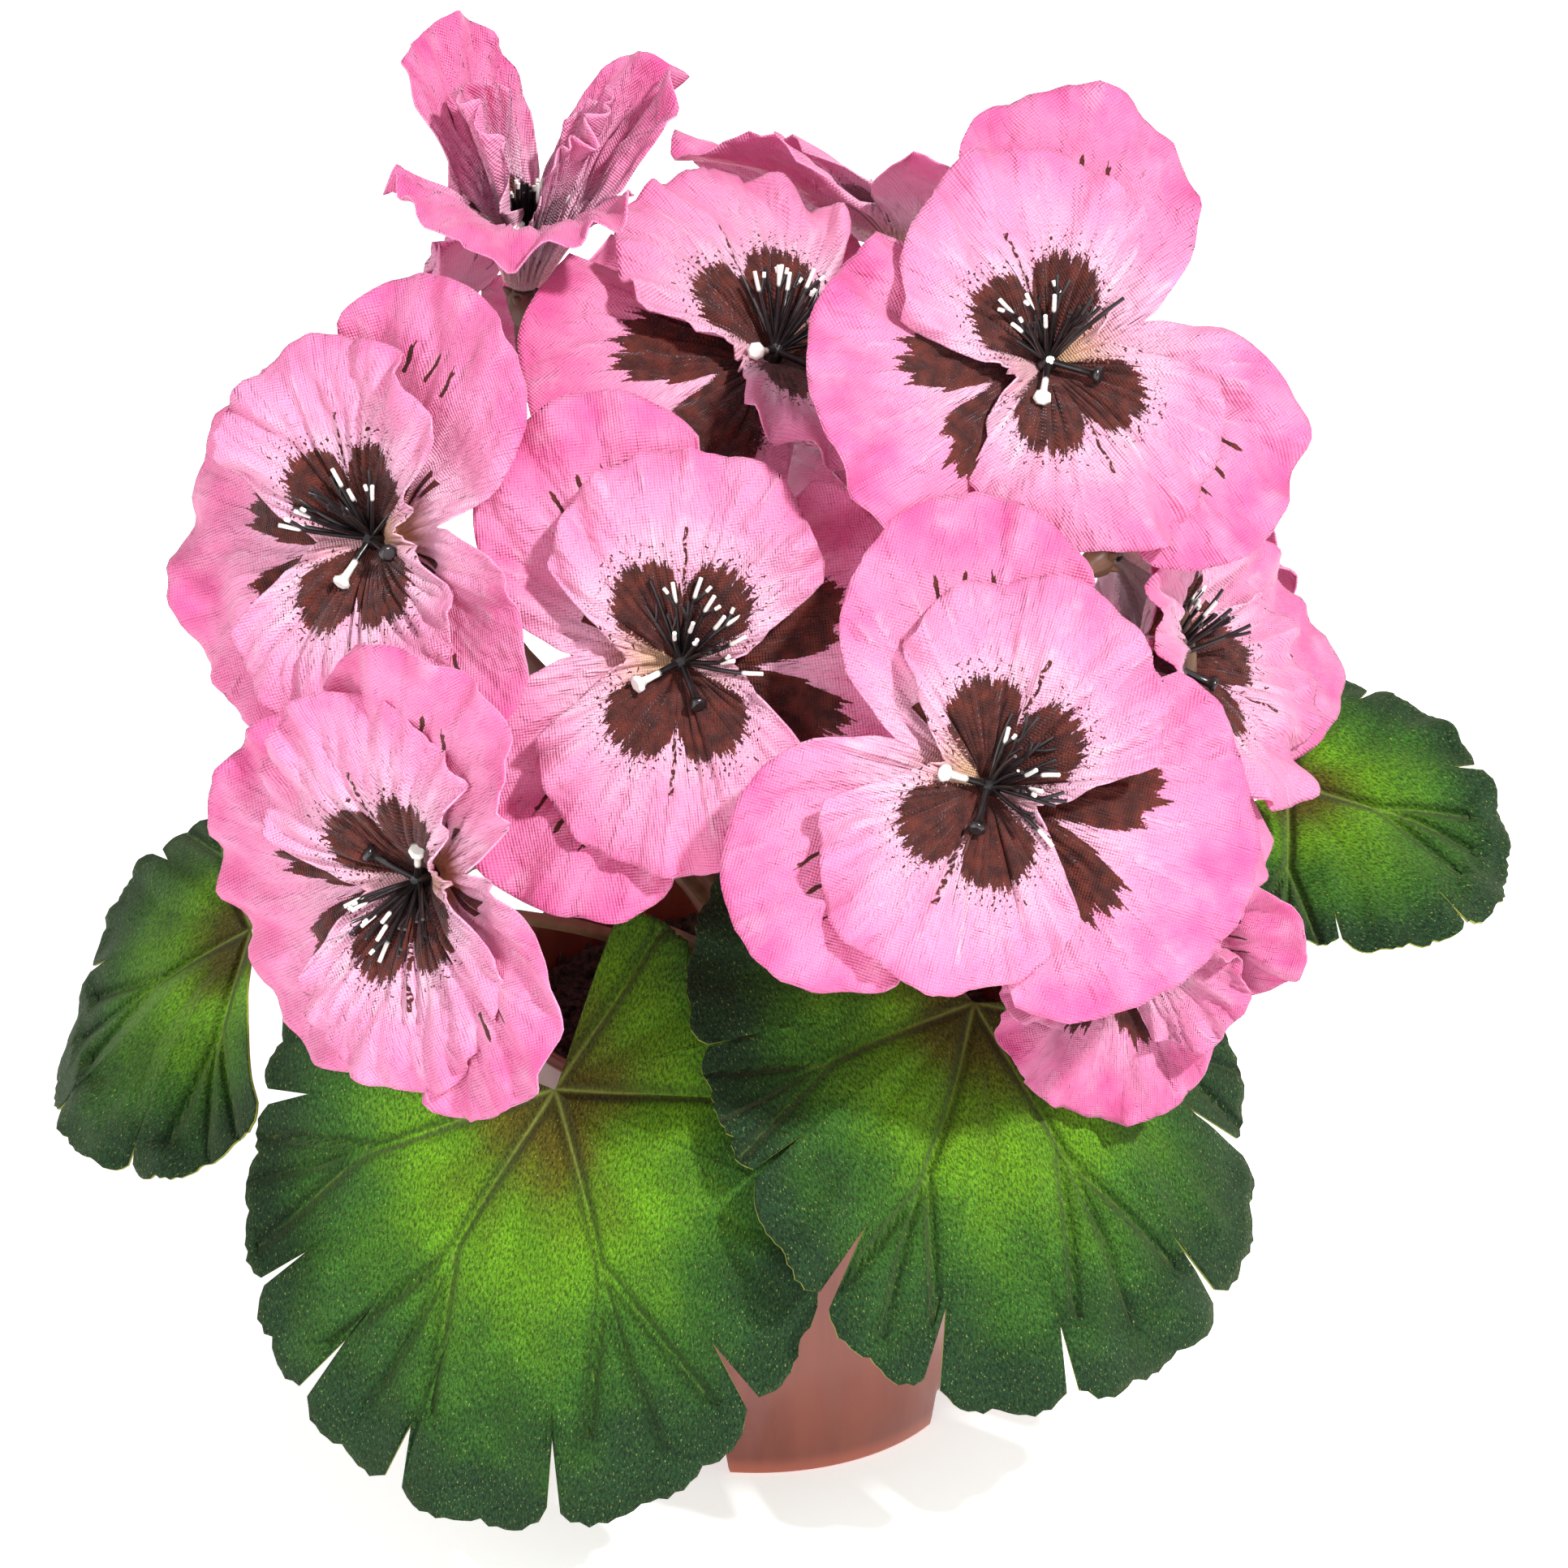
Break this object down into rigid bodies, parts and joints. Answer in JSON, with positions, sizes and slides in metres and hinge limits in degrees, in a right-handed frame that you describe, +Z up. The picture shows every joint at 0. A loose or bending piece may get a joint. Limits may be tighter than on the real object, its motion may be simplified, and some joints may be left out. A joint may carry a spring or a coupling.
{
  "type": "potted pansy",
  "caption": "Artificial pansy in bloom: pink cloth flowers with brown centres and round cloth leaves on moulded stems, set in soil in a small plastic pot.",
  "frame": {"origin": "on the floor under the middle of the plant's box", "axes": "+Z up, -Y the front of the plant, +X to the right of someone who looks at its front"},
  "size_m": [0.2303, 0.1845, 0.2236],
  "materials": {
    "petal_cloth": "fine plain-weave cloth with a satin sheen, pink, printed with brown blotches and streaks",
    "stamen_plastic": "glossy black soft plastic, some tips dipped white",
    "leaf_cloth": "short-napped green cloth, yellow-green in the middle and dark at the margin, embossed veins",
    "stem_plastic": "ribbed brown plastic with a dull shine",
    "pot_plastic": "semi-gloss terracotta-coloured moulded plastic",
    "soil_grains": "loose dark brown peat grains"
  },
  "bodies": {
    "root": {"petals_middle": "petal_cloth", "stamens_middle": "stamen_plastic", "petals_front_right": "petal_cloth", "stamens_front_right": "stamen_plastic", "petals_upper_right": "petal_cloth", "stamens_upper_right": "stamen_plastic", "petals_upper_left": "petal_cloth", "stamens_upper_left": "stamen_plastic", "petals_lower_left": "petal_cloth", "stamens_lower_left": "stamen_plastic", "petals_top_middle": "petal_cloth", "stamens_top_middle": "stamen_plastic", "petals_top_left": "petal_cloth", "stamens_top_left": "stamen_plastic", "petals_right": "petal_cloth", "stamens_right": "stamen_plastic", "petals_lower_right": "petal_cloth", "stamens_lower_right": "stamen_plastic", "petals_back_top": "petal_cloth", "stamens_back_top": "stamen_plastic", "petals_back_left": "petal_cloth", "stamens_back_left": "stamen_plastic", "petals_back_middle": "petal_cloth", "stamens_back_middle": "stamen_plastic", "petals_back_right": "petal_cloth", "stamens_back_right": "stamen_plastic", "stems": "stem_plastic", "leaf_front_left": "leaf_cloth", "leaf_front_right": "leaf_cloth", "leaf_left": "leaf_cloth", "leaf_right": "leaf_cloth", "leaf_back_right": "leaf_cloth", "leaf_back_left": "leaf_cloth", "leaf_back_middle": "leaf_cloth", "pot": "pot_plastic", "soil": "soil_grains"}
  },
  "joints": []
}
